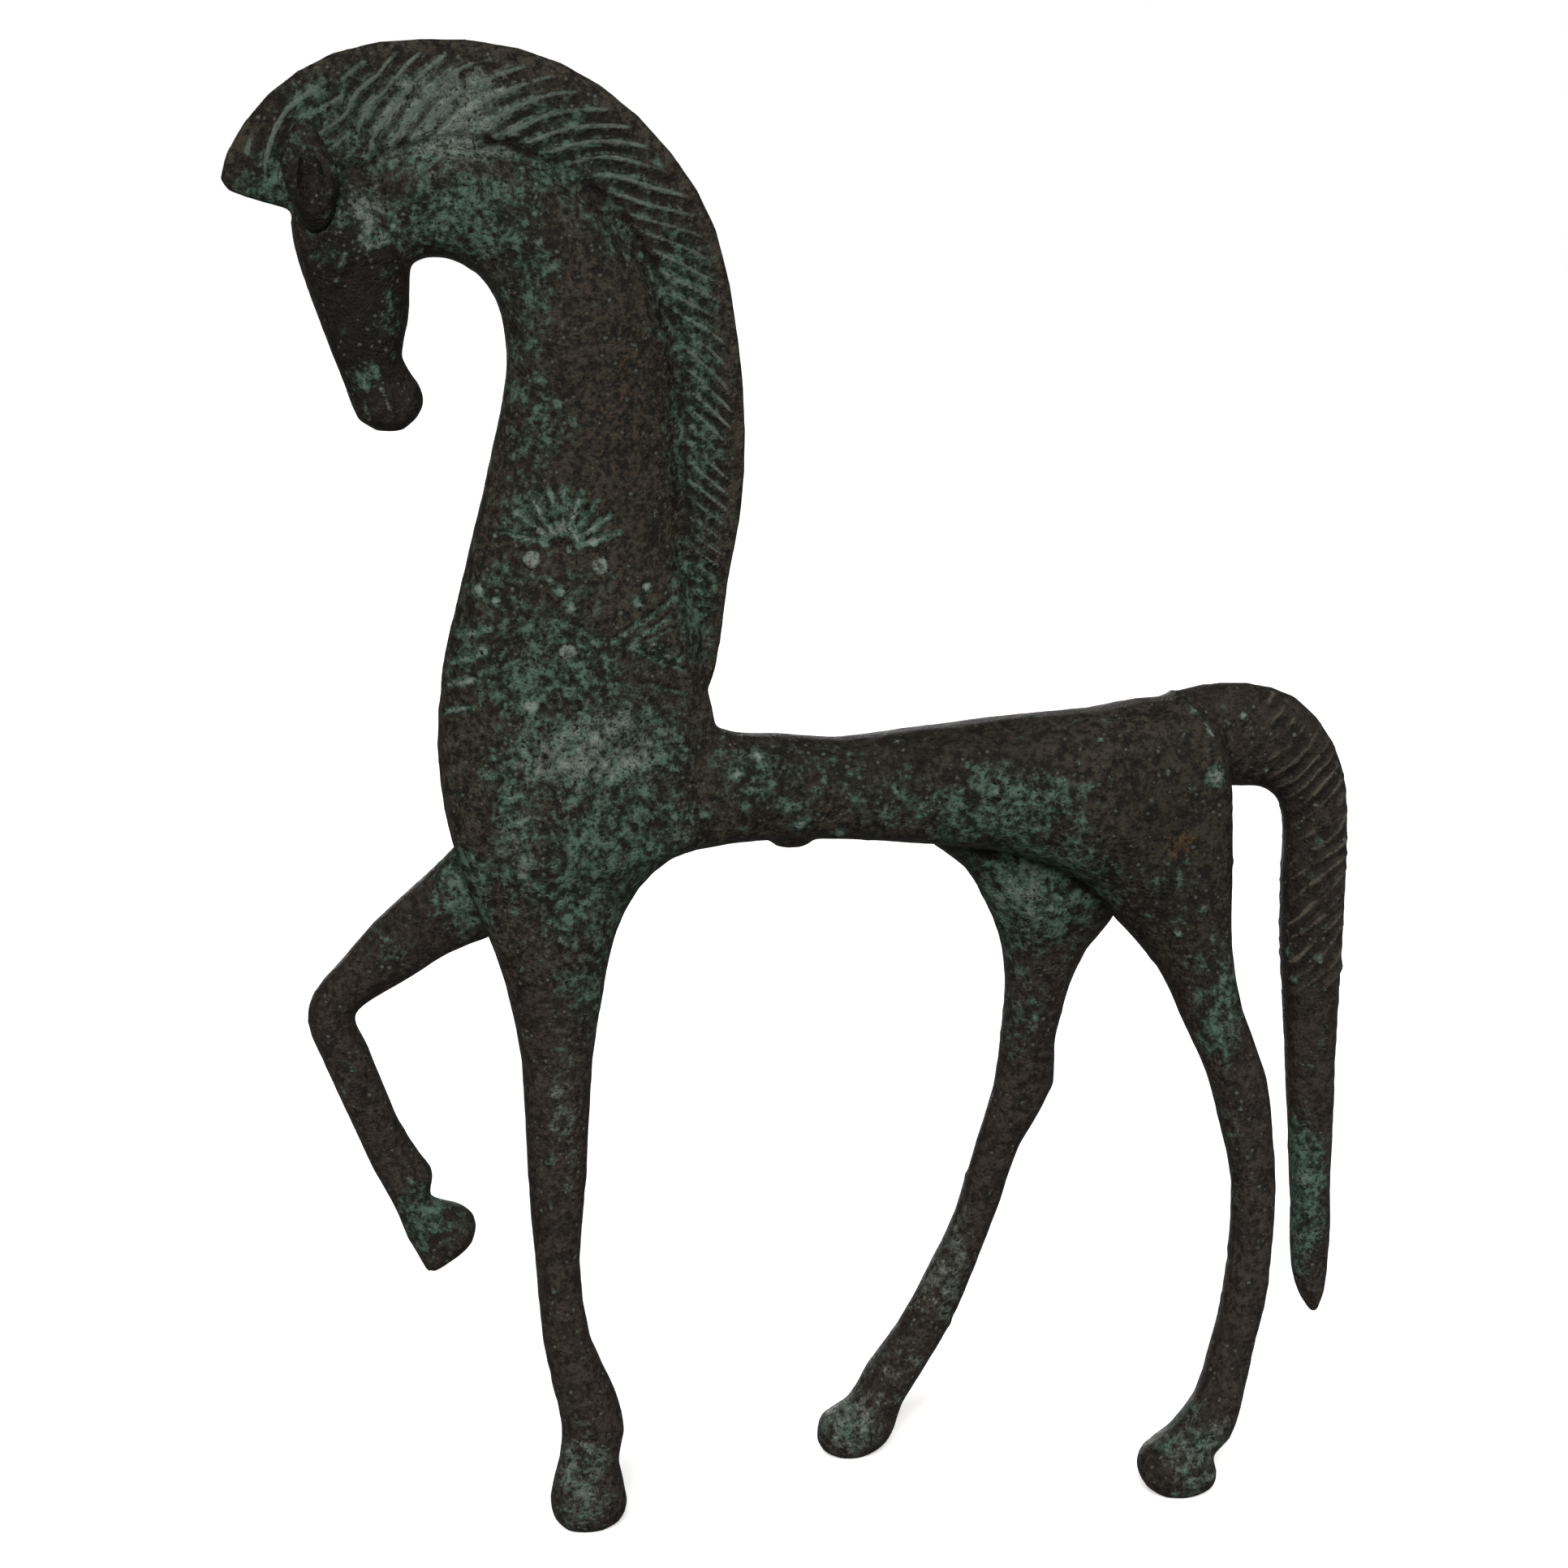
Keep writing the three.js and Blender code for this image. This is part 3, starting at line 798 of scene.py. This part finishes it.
def flat_blade(middle, lean, long, wide):
    """A thin plate, level at first and then turned about Y."""
    turn = Matrix.Rotation(math.radians(lean), 3, "Y")
    around = ((-0.5, -0.5), (0.5, -0.5), (0.5, 0.5), (-0.5, 0.5))
    size = Vector((long, wide, KERF))
    corners = [Vector((x, y, z)) * size for z in (-0.5, 0.5) for x, y in around]
    points = [Vector(middle) + turn @ corner for corner in corners]
    faces = [(0, 1, 2, 3), (4, 5, 6, 7), (0, 1, 5, 4), (1, 2, 6, 5), (2, 3, 7, 6), (3, 0, 4, 7)]
    return mesh_from("blade", points, faces)


def curved_blade(line, wide):
    """A thin sheet that follows a line of [x, z] places, as wide as told along Y."""
    ahead = np.gradient(line, axis=0)
    ahead /= np.hypot(*ahead.T)[:, None]
    normal = np.column_stack([-ahead[:, 1], ahead[:, 0]]) * KERF / 2
    points, faces = [], []
    for place, offset in zip(line, normal):
        for y, side in ((-1, -1), (1, -1), (1, 1), (-1, 1)):
            x, z = place + side * offset
            points.append((x, y * wide / 2, z))
    for start in range(0, len(points) - 4, 4):
        for a in range(4):
            b = (a + 1) % 4
            faces.append((start + a, start + b, start + b + 4, start + a + 4))
    faces += [(0, 1, 2, 3), tuple(range(len(points) - 4, len(points)))]
    return mesh_from("blade", points, faces)


# %% Sawing
def cut_or_join(obj, tool_mesh, operation):
    tool = add_object("tool", tool_mesh)
    with_modifier(obj, "BOOLEAN", operation=operation, object=tool, solver="MANIFOLD")
    bpy.data.objects.remove(tool)
    bpy.data.meshes.remove(tool_mesh)


def pieces_of(mesh):
    """One new mesh for each separate shell."""
    bm = bmesh.new()
    bm.from_mesh(mesh)
    pieces = []
    for shell in islands(bm):
        number = {vert: index for index, vert in enumerate(shell)}
        faces = dict.fromkeys(face for vert in shell for face in vert.link_faces)
        corners = [[number[vert] for vert in face.verts] for face in faces]
        piece = bpy.data.meshes.new("piece")
        piece.from_pydata([vert.co for vert in shell], [], corners)
        pieces.append(piece)
    bm.free()
    return pieces


skin_points = get_points(skin.data)
cut_or_join(skin, joined([flat_blade(*joint) for joint in JOINTS.values()]), "DIFFERENCE")
cut_or_join(skin, curved_blade(NAPE_LINE[::6], CREST_BLADE), "DIFFERENCE")
sawn = pieces_of(skin.data)
bpy.data.objects.remove(skin)
print("sawn apart:", [len(mesh.vertices) for mesh in sawn])

# %% [markdown]
# ## Naming the castings
#
# Each sawn piece is known by its box, which is nearly the box of one node of the CAD model. The
# piece then stands for that node.

# %% Castings
def box_of(points):
    return np.concatenate([points.min(0), points.max(0)])


def node_box(node):
    low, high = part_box(node)
    return np.array([*low, *high]) / MM


def nearest_node(points):
    misses = {node: np.abs(node_box(node) - box_of(points)).sum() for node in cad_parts}
    return min(misses, key=misses.get)


castings = {}
for mesh in sawn:
    node = nearest_node(get_points(mesh))
    castings[node] = add_object(node + "_casting", mesh)
print("castings:", ", ".join(castings))

# %% [markdown]
# ## Pegs and sockets
#
# A flush joint needs something to hold it while it is brazed. So each leg, the neck, the head, the
# tail and the crest carry a round peg, and the casting beside it has the socket. They can't be
# seen on the finished figure, but they make each piece what it is on the bench. A peg is joined on
# with a Boolean, and the sockets are cut with rods that are slightly larger and longer. This comes
# before the net is thinned, because a Boolean needs a mesh without a single gap.

# %% Pegs and sockets
CLEARANCE = 0.3  # mm between a peg and its socket
PEG_SIDES = 24
PEGS = {  # casting: (the casting it sits in, start [x, y, z], end, radius), in mm
    "neck": ("trunk", [-32, 0, 117], [-32, 0, 104], 4),
    "head": ("neck", [-58, 0, 174.6], [-49, 0, 179.3], 1.8),
    "foreleg_left": ("trunk", [-36.8, -2, 73], [-36.4, -1.5, 86], 2.6),
    "foreleg_right": ("trunk", [-53, 6.5, 83.3], [-42, 3.2, 90.2], 1.9),
    "hind_leg_left": ("trunk", [51.4, -6, 69], [51, -4.2, 81], 2.4),
    "hind_leg_right": ("trunk", [33.4, 8.6, 71], [34.5, 6.4, 83], 2.4),
    "tail": ("trunk", [60, 0, 102.5], [46, 0, 102.5], 2.6),
    "mane_crest": ("neck", [-48, 0, 191], [-46.5, 0, 182], 1.1),
}


def rod(start, end, radius, longer=0.0):
    """A round bar between two places, reaching past its end by longer mm."""
    start, end = Vector(start), Vector(end)
    way = (end - start).normalized()
    end += longer * way
    turn = way.to_track_quat("Z", "Y").to_matrix().to_4x4()
    place = Matrix.Translation((start + end) / 2 * MM) @ turn
    bm = bmesh.new()
    size = {"radius1": radius * MM, "radius2": radius * MM, "depth": (end - start).length * MM}
    bmesh.ops.create_cone(bm, cap_ends=True, segments=PEG_SIDES, matrix=place, **size)
    mesh = bpy.data.meshes.new("rod")
    bm.to_mesh(mesh)
    bm.free()
    return mesh


for node, (_, start, end, radius) in PEGS.items():
    cut_or_join(castings[node], rod(start, end, radius), "UNION")
for holder in ("trunk", "neck"):
    held = [place for place in PEGS.values() if place[0] == holder]
    sockets = [rod(start, end, radius + CLEARANCE, CLEARANCE) for _, start, end, radius in held]
    cut_or_join(castings[holder], joined(sockets), "DIFFERENCE")
for node, casting in castings.items():
    miss = np.abs(node_box(node) - box_of(get_points(casting.data))).max()
    print(node, "box off by", miss.round(2), "mm")

# %% [markdown]
# ## Thinning the net
#
# A plain shin needs far fewer points than the mane. Each casting is thinned out by its own share,
# and the points go first where the surface is smooth.

# %% Thinning
KEPT = {  # share of the net that each casting keeps
    "mane_crest": 0.75,
    "neck": 0.6,
    "head": 0.8,
    "trunk": 0.42,
    "tail": 0.5,
}
KEPT_ON_LEGS = 0.38

for node, casting in castings.items():
    with_modifier(casting, "DECIMATE", ratio=KEPT.get(node, KEPT_ON_LEGS))
print("points:", {node: len(casting.data.vertices) for node, casting in castings.items()})

# %% [markdown]
# ## Handing over the patina
#
# The values for green, lime and so on belong to the points of the whole skin. Every point of a
# casting takes them from the nearest point of the skin, and they are stored on its mesh, where the
# finish can read them.

# %% Values for the finish
SHARP = math.radians(55)  # saw cuts stay sharp, and everything else is shaded smooth

skin_tree = KDTree(len(skin_points))
for index, point in enumerate(skin_points):
    skin_tree.insert(point, index)
skin_tree.balance()


def keep(mesh, layers):
    """Stores named values, one for each vertex."""
    for name, values in layers.items():
        layer = mesh.attributes.new(name, "FLOAT", "POINT")
        layer.data.foreach_set("value", values.astype(np.float32))


for casting in castings.values():
    nearest = np.array([skin_tree.find(point)[1] for point in get_points(casting.data)])
    keep(casting.data, {name: values[nearest] for name, values in settled.items()})
    casting.data.shade_smooth()
    casting.data.set_sharp_from_angle(angle=SHARP)
print("layers kept:", ", ".join(settled))

# %% [markdown]
# ## Ears
#
# The ears are two small leaves of wax, pressed on before casting, with a hollow on the outside.
# They are made from the CAD pieces in the same way as the skin, with a finer net. They keep the
# swell, so that they meet the cheek and the crest. The root is black, and the tip has patina.

# %% Ears
EAR_NET = 0.24
EAR_RELAX_ROUNDS = 14
EAR_GRAIN_SIZE, EAR_GRAIN_HEIGHT = 1.4, 0.05

for node in EARS:
    ear = remeshed(node + "_casting", [node], EAR_NET)
    relax(ear.data, EAR_RELAX_ROUNDS)
    points = get_points(ear.data)
    grain = EAR_GRAIN_HEIGHT * waver(points, EAR_GRAIN_SIZE, 9)
    points += grain[:, None] * get_normals(ear.data)
    set_points(ear.data, points)
    low, high = points.min(0), points.max(0)
    tip = (points[:, 2] - low[2]) / (high[2] - low[2])
    plain = np.zeros(len(tip))
    keep(ear.data, {"green": 0.1 + 0.4 * tip, "lime": 0.6 * tip, "black_oxide_and_shade": 1 - 0.6 * tip})
    keep(ear.data, {"rust": plain, "raised": plain})
    ear.data.shade_smooth()
    castings[node] = ear
    print(node, len(ear.data.vertices), "points")

# %% [markdown]
# ## Patinated bronze
#
# Cast bronze that has lain in damp ground is metal only underneath. A brown-black skin of copper
# oxide grows first, with a satin sheen. Over it grows basic copper carbonate, verdigris, which is
# a matt blue-green crust in flecks a few tenths of a millimetre wide, and the palest spots are
# lime from the ground. So the material is layers, each with its own mask: oxide, verdigris, lime,
# dark pores and grooves, and last a lighter brown where a ridge has been rubbed. The masks start
# from the values that were kept for each point of the skin, and noise breaks them up into flecks.
# The crust covers all the metal, so nothing here is metallic, and it mirrors very little.

# %% Finish helpers
def colour(code):
    """Turns an sRGB hex value into linear red, green, blue and alpha."""
    parts = [int(code[k : k + 2], 16) / 255 for k in (1, 3, 5)]
    return [c / 12.92 if c <= 0.04045 else ((c + 0.055) / 1.055) ** 2.4 for c in parts] + [1]


def add(tree, kind, links=(), **settings):
    """Adds a node, sets its settings, and feeds its inputs with values or with other outputs."""
    node = tree.nodes.new("ShaderNode" + kind)
    for name, value in settings.items():
        setattr(node, name, value)
    for socket, value in dict(links).items():
        if isinstance(value, bpy.types.NodeSocket):
            tree.links.new(value, node.inputs[socket])
        else:
            node.inputs[socket].default_value = value
    return node


print("half of white is", round(colour("#808080")[0], 2), "in linear light")

# %% [markdown]
# ## The layers as tables
#
# Each layer is a row: its colour, where it begins to cover, where it hides all below it, and what
# it follows. What it follows is a sum of sources, each with a weight. The sources are noises, the
# cells of a Voronoi pattern, and the values kept for each point of the casting. The patina of a
# real bronze has clouds of a few millimetres, flecks of about one, and grit of a few hundredths.
# The grit would be too fine to show, so it is drawn about ten times as coarse.

# %% Patina layers
NOISES = {  # size in mm, detail, roughness
    "broad": (6, 3, 0.6),
    "middling": (2.2, 6, 0.72),
    "lime_crust": (1.7, 6, 0.75),
    "tone": (1.1, 5, 0.6),
    "fine": (0.8, 5, 0.72),
    "grit": (0.42, 3, 0.6),
}
SPECK_SPACING = 1.3  # mm
OXIDE_LAYERS = [
    ("#43392d", 0.88, 1.05, {"fine": 1, "grit": 0.5}),  # brown grains, partly painted glints
    ("#090806", 0, 1.3, {"black_oxide_and_shade": 1}),  # black oxide, and painted shade on the haunch, the rump, the tail and the back
    ("#3f2f1d", 1.55, 2, {"rust": 1, "fine": 1.6, "grit": 0.6}),  # ochre oxide
]
VERDIGRIS_DEEP = "#1b2721"
VERDIGRIS_PALE = ("#3f4f45", 0.72, 1.12, {"middling": 0.8, "tone": 1})
VERDIGRIS_BEGINS, VERDIGRIS_FULL = 2.6, 3.15
VERDIGRIS_FOLLOWS = {"green": 1, "broad": 1, "middling": 2.2, "fine": 1.3}
CRUST_LAYERS = [
    ("#5f665f", 2, 2.7, {"lime": 1, "lime_crust": 2.4, "grit": 0.5}),  # lime
    ("#40453e", 0.98, 0.82, {"cells": 0.9, "fine": 1, "middling": 0.6}),  # uneven pale specks, partly painted glints
    ("#0d0b08", 0.57, 0.45, {"fine": 0.7, "grit": 0.5}),  # pores
    ("#0f0d0a", -0.2, -0.9, {"raised": 1}),  # shade and dirt in grooves
]
CRUST_HEIGHT = 0.4  # mm
CRUST_SHAPE = {"grit": 0.8, "fine": 0.7, "middling": 0.9, "crusted": 0.25}
SATIN, MATT = 0.42, 0.75  # roughness of the oxide and of the crust
SHEEN = 0.1  # specular level; a porous crust mirrors much less than glass does
print("tables: oxide", len(OXIDE_LAYERS), "rows, crust", len(CRUST_LAYERS), "rows")

# %% [markdown]
# ## Patinated bronze
#
# The material reads the tables from the oxide upwards, and adds one Mix node for each row. The
# cover of the verdigris is used three times: for the colour, for the roughness, because crust is
# more matt than oxide, and for the bump, because crust stands a little higher.

# %% Patinated bronze
FACTOR, FIRST, SECOND, MIXED = 0, 6, 7, 2  # sockets of a Mix node that mixes colours


def patina_sources(tree):
    """Every value that a layer can follow, by its name."""
    place = add(tree, "TexCoord").outputs["Object"]
    sockets = {"Vector": place, "Scale": 1 / (SPECK_SPACING * MM)}
    sources = {"cells": add(tree, "TexVoronoi", sockets).outputs["Distance"]}
    for name, (size, detail, roughness) in NOISES.items():
        sockets = {"Vector": place, "Scale": 1 / (size * MM), "Detail": detail, "Roughness": roughness}
        sources[name] = add(tree, "TexNoise", sockets).outputs["Fac"]
    for name in settled:
        sources[name] = add(tree, "Attribute", attribute_name=name).outputs["Fac"]
    return sources


def mixture(tree, sources, weights):
    """The sum of some sources, each multiplied by its weight."""
    total = 0
    for name, weight in weights.items():
        sockets = {0: sources[name], 1: weight, 2: total}
        total = add(tree, "Math", sockets, operation="MULTIPLY_ADD").outputs[0]
    return total


def cover(tree, sources, begins, full, weights):
    """How far a layer covers, from 0 to 1. Where the mixture is low it can cover more, as pores do."""
    sockets = {"Value": mixture(tree, sources, weights), "From Min": begins, "From Max": full}
    return add(tree, "MapRange", sockets, interpolation_type="SMOOTHSTEP").outputs["Result"]


def laid(tree, sources, surface, layers):
    """The surface with each layer of a table laid over it in turn."""
    for code, begins, full, weights in layers:
        factor = cover(tree, sources, begins, full, weights)
        sockets = {FACTOR: factor, FIRST: surface, SECOND: colour(code)}
        surface = add(tree, "Mix", sockets, data_type="RGBA").outputs[MIXED]
    return surface


def patinated_bronze(name, oxide_dark, oxide_light, worn, more_green=0.0):
    material = bpy.data.materials.new(name)
    material.use_nodes = True
    tree = material.node_tree
    tree.nodes.clear()
    sources = patina_sources(tree)
    begins, full = VERDIGRIS_BEGINS - more_green, VERDIGRIS_FULL - more_green
    sources["crusted"] = cover(tree, sources, begins, full, VERDIGRIS_FOLLOWS)

    clouds = (oxide_light, 0.86, 1.16, {"middling": 1, "fine": 1})
    rubbed = (worn, 0.75, 1.4, {"raised": 1, "middling": 1})
    oxide = laid(tree, sources, colour(oxide_dark), [clouds] + OXIDE_LAYERS)
    verdigris = laid(tree, sources, colour(VERDIGRIS_DEEP), [VERDIGRIS_PALE])
    sockets = {FACTOR: sources["crusted"], FIRST: oxide, SECOND: verdigris}
    crust = add(tree, "Mix", sockets, data_type="RGBA").outputs[MIXED]
    surface = laid(tree, sources, crust, CRUST_LAYERS + [rubbed])

    height = mixture(tree, sources, CRUST_SHAPE)
    bump = add(tree, "Bump", {"Strength": 1.0, "Distance": CRUST_HEIGHT * MM, "Height": height})
    dryness = cover(tree, sources, 0.1, 1.2, {"crusted": 1, "broad": 0.6})
    sockets = {"Value": dryness, "To Min": SATIN, "To Max": MATT}
    roughness = add(tree, "MapRange", sockets).outputs["Result"]
    sockets = {"Base Color": surface, "Roughness": roughness, "Specular IOR Level": SHEEN}
    shader = add(tree, "BsdfPrincipled", sockets | {"Normal": bump.outputs["Normal"]})
    add(tree, "OutputMaterial", {"Surface": shader.outputs["BSDF"]})
    return material


print("values that a layer can follow:", ", ".join([*NOISES, *settled, "cells", "crusted"]))

# %% [markdown]
# ## Two shades of the bronze
#
# The trunk, the neck and the crest have a nearly black oxide, and their worn ridges are a greenish
# grey. The head, the legs, the ears and the tail were handled more, so they are a warmer brown
# with a little less green. Both are the same bronze, so one function makes them with other colours.

# %% Finishes
FINISHES = {
    "green_bronze": patinated_bronze("verdigris_bronze", "#0f0d09", "#302b23", "#4a524b", 0.05),
    "dark_bronze": patinated_bronze("brown_bronze", "#15110e", "#2c2621", "#433e35"),
}
GREEN_CASTINGS = ("trunk", "neck", "mane_crest")
for node, casting in castings.items():
    slot = "green_bronze" if node in GREEN_CASTINGS else "dark_bronze"
    casting.data.materials.clear()
    casting.data.materials.append(FINISHES[slot])
    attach(casting, "root")
    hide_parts(node)
print("castings with a finish:", len(castings))

# %% [markdown]
# ## Floor and light
#
# A bronze this dark shows its form by soft light. The key lamp stands a little to the left of the
# viewer and well above, a weaker one stands at the tail, and a third lights the far side for
# anyone who walks round. They are suns with a wide angle, which light figure and floor as evenly
# as big softboxes far away. The floor is pale paper, and glows a little, so that it meets the white
# wall without an edge. But so much white all round would fog the dark metal, so the figure itself
# is lit by a grey floor and a dim sky: the Light Path node tells the two kinds of ray apart.

# %% Floor
FLOOR_RADIUS = 6.0  # m
FLOOR_GLOW = 0.4
FLOOR_SIDES = 96
PAPER, PAPER_UNSEEN = "#fbfaf8", "#808080"


def add_floor():
    """A large disc under the soles. The camera sees pale paper, and all other rays see grey."""
    bm = bmesh.new()
    bmesh.ops.create_circle(bm, cap_ends=True, radius=FLOOR_RADIUS, segments=FLOOR_SIDES)
    mesh = bpy.data.meshes.new("floor")
    bm.to_mesh(mesh)
    bm.free()
    floor = add_object("floor", mesh)
    floor.location.z = cad_box[0][2]
    paper = bpy.data.materials.new("pale_paper")
    paper.use_nodes = True
    tree = paper.node_tree
    tree.nodes.clear()
    white = add(tree, "BsdfDiffuse", {"Color": colour(PAPER)})
    glow = add(tree, "Emission", {"Color": colour(PAPER), "Strength": FLOOR_GLOW})
    lit = add(tree, "AddShader", {0: white.outputs[0], 1: glow.outputs[0]})
    grey = add(tree, "BsdfDiffuse", {"Color": colour(PAPER_UNSEEN)})
    path = add(tree, "LightPath")
    seen = path.outputs["Is Camera Ray"]
    both = add(tree, "MixShader", {0: seen, 1: grey.outputs[0], 2: lit.outputs[0]})
    add(tree, "OutputMaterial", {"Surface": both.outputs[0]})
    mesh.materials.append(paper)


add_floor()
print("floor at", round(cad_box[0][2] / MM, 2), "mm")

# %% Lamps and sky
WALL_LIGHT = 1.0  # where the camera sees the sky
SKY_LIGHT = 0.12  # where the figure does
WHITE = (1, 1, 1, 1)


def add_lamp(name, azimuth, elevation, spread, strength):
    """A broad sun. Its place is given in degrees, and so is how wide it looks."""
    data = bpy.data.lights.new(name, "SUN")
    data.energy = strength
    data.angle = math.radians(spread)
    way = direction(math.radians(azimuth), math.radians(elevation))
    add_object(name, data).rotation_euler = (-way).to_track_quat("-Z", "Y").to_euler()


def add_sky():
    """White for the camera, and dim for the light that falls on the figure."""
    world = bpy.data.worlds.new("studio")
    world.use_nodes = True
    tree = world.node_tree
    tree.nodes.clear()
    wall = add(tree, "Background", {"Color": WHITE, "Strength": WALL_LIGHT})
    dim = add(tree, "Background", {"Color": WHITE, "Strength": SKY_LIGHT})
    seen = add(tree, "LightPath").outputs["Is Camera Ray"]
    both = add(tree, "MixShader", {0: seen, 1: dim.outputs[0], 2: wall.outputs[0]})
    add(tree, "OutputWorld", {"Surface": both.outputs[0]})
    bpy.context.scene.world = world


add_lamp("key", azimuth=-14, elevation=30, spread=30, strength=5.6)
add_lamp("fill", azimuth=85, elevation=25, spread=60, strength=0.7)
add_lamp("back", azimuth=180, elevation=8, spread=20, strength=1.1)
add_sky()
bpy.context.scene.view_settings.view_transform = "Standard"
print("lamps:", [lamp.name for lamp in bpy.data.lights])
